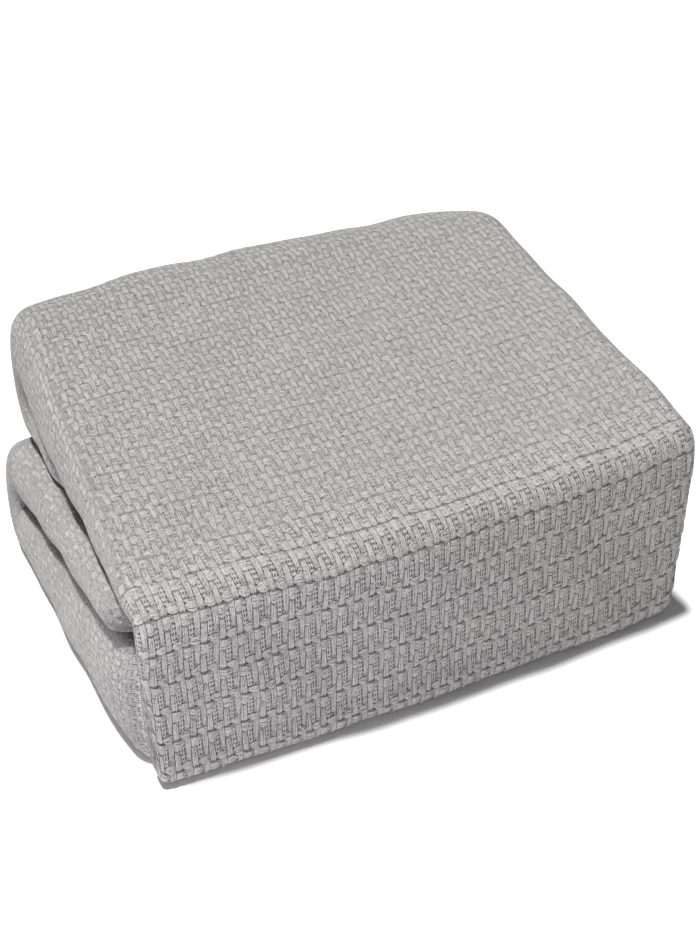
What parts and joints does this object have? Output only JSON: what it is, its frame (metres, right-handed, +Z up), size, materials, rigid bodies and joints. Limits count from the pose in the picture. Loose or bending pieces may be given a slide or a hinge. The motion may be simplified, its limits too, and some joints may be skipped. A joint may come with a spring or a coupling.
{
  "type": "folded cotton blanket",
  "caption": "Woven cotton blanket folded into a soft rectangular package, smooth along the front and top, with rounded folded edges at the left and back.",
  "frame": {"origin": "bottom centre of the folded package's bounding box, on the surface it rests on", "axes": "+X along the smooth front edge from its left to its right end, +Y from the front to the back, +Z up"},
  "size_m": [0.387, 0.291, 0.2021],
  "materials": {
    "cotton": "matte thick basket-type weave, light warm grey"
  },
  "bodies": {
    "root": {"blanket": "cotton"}
  },
  "joints": []
}
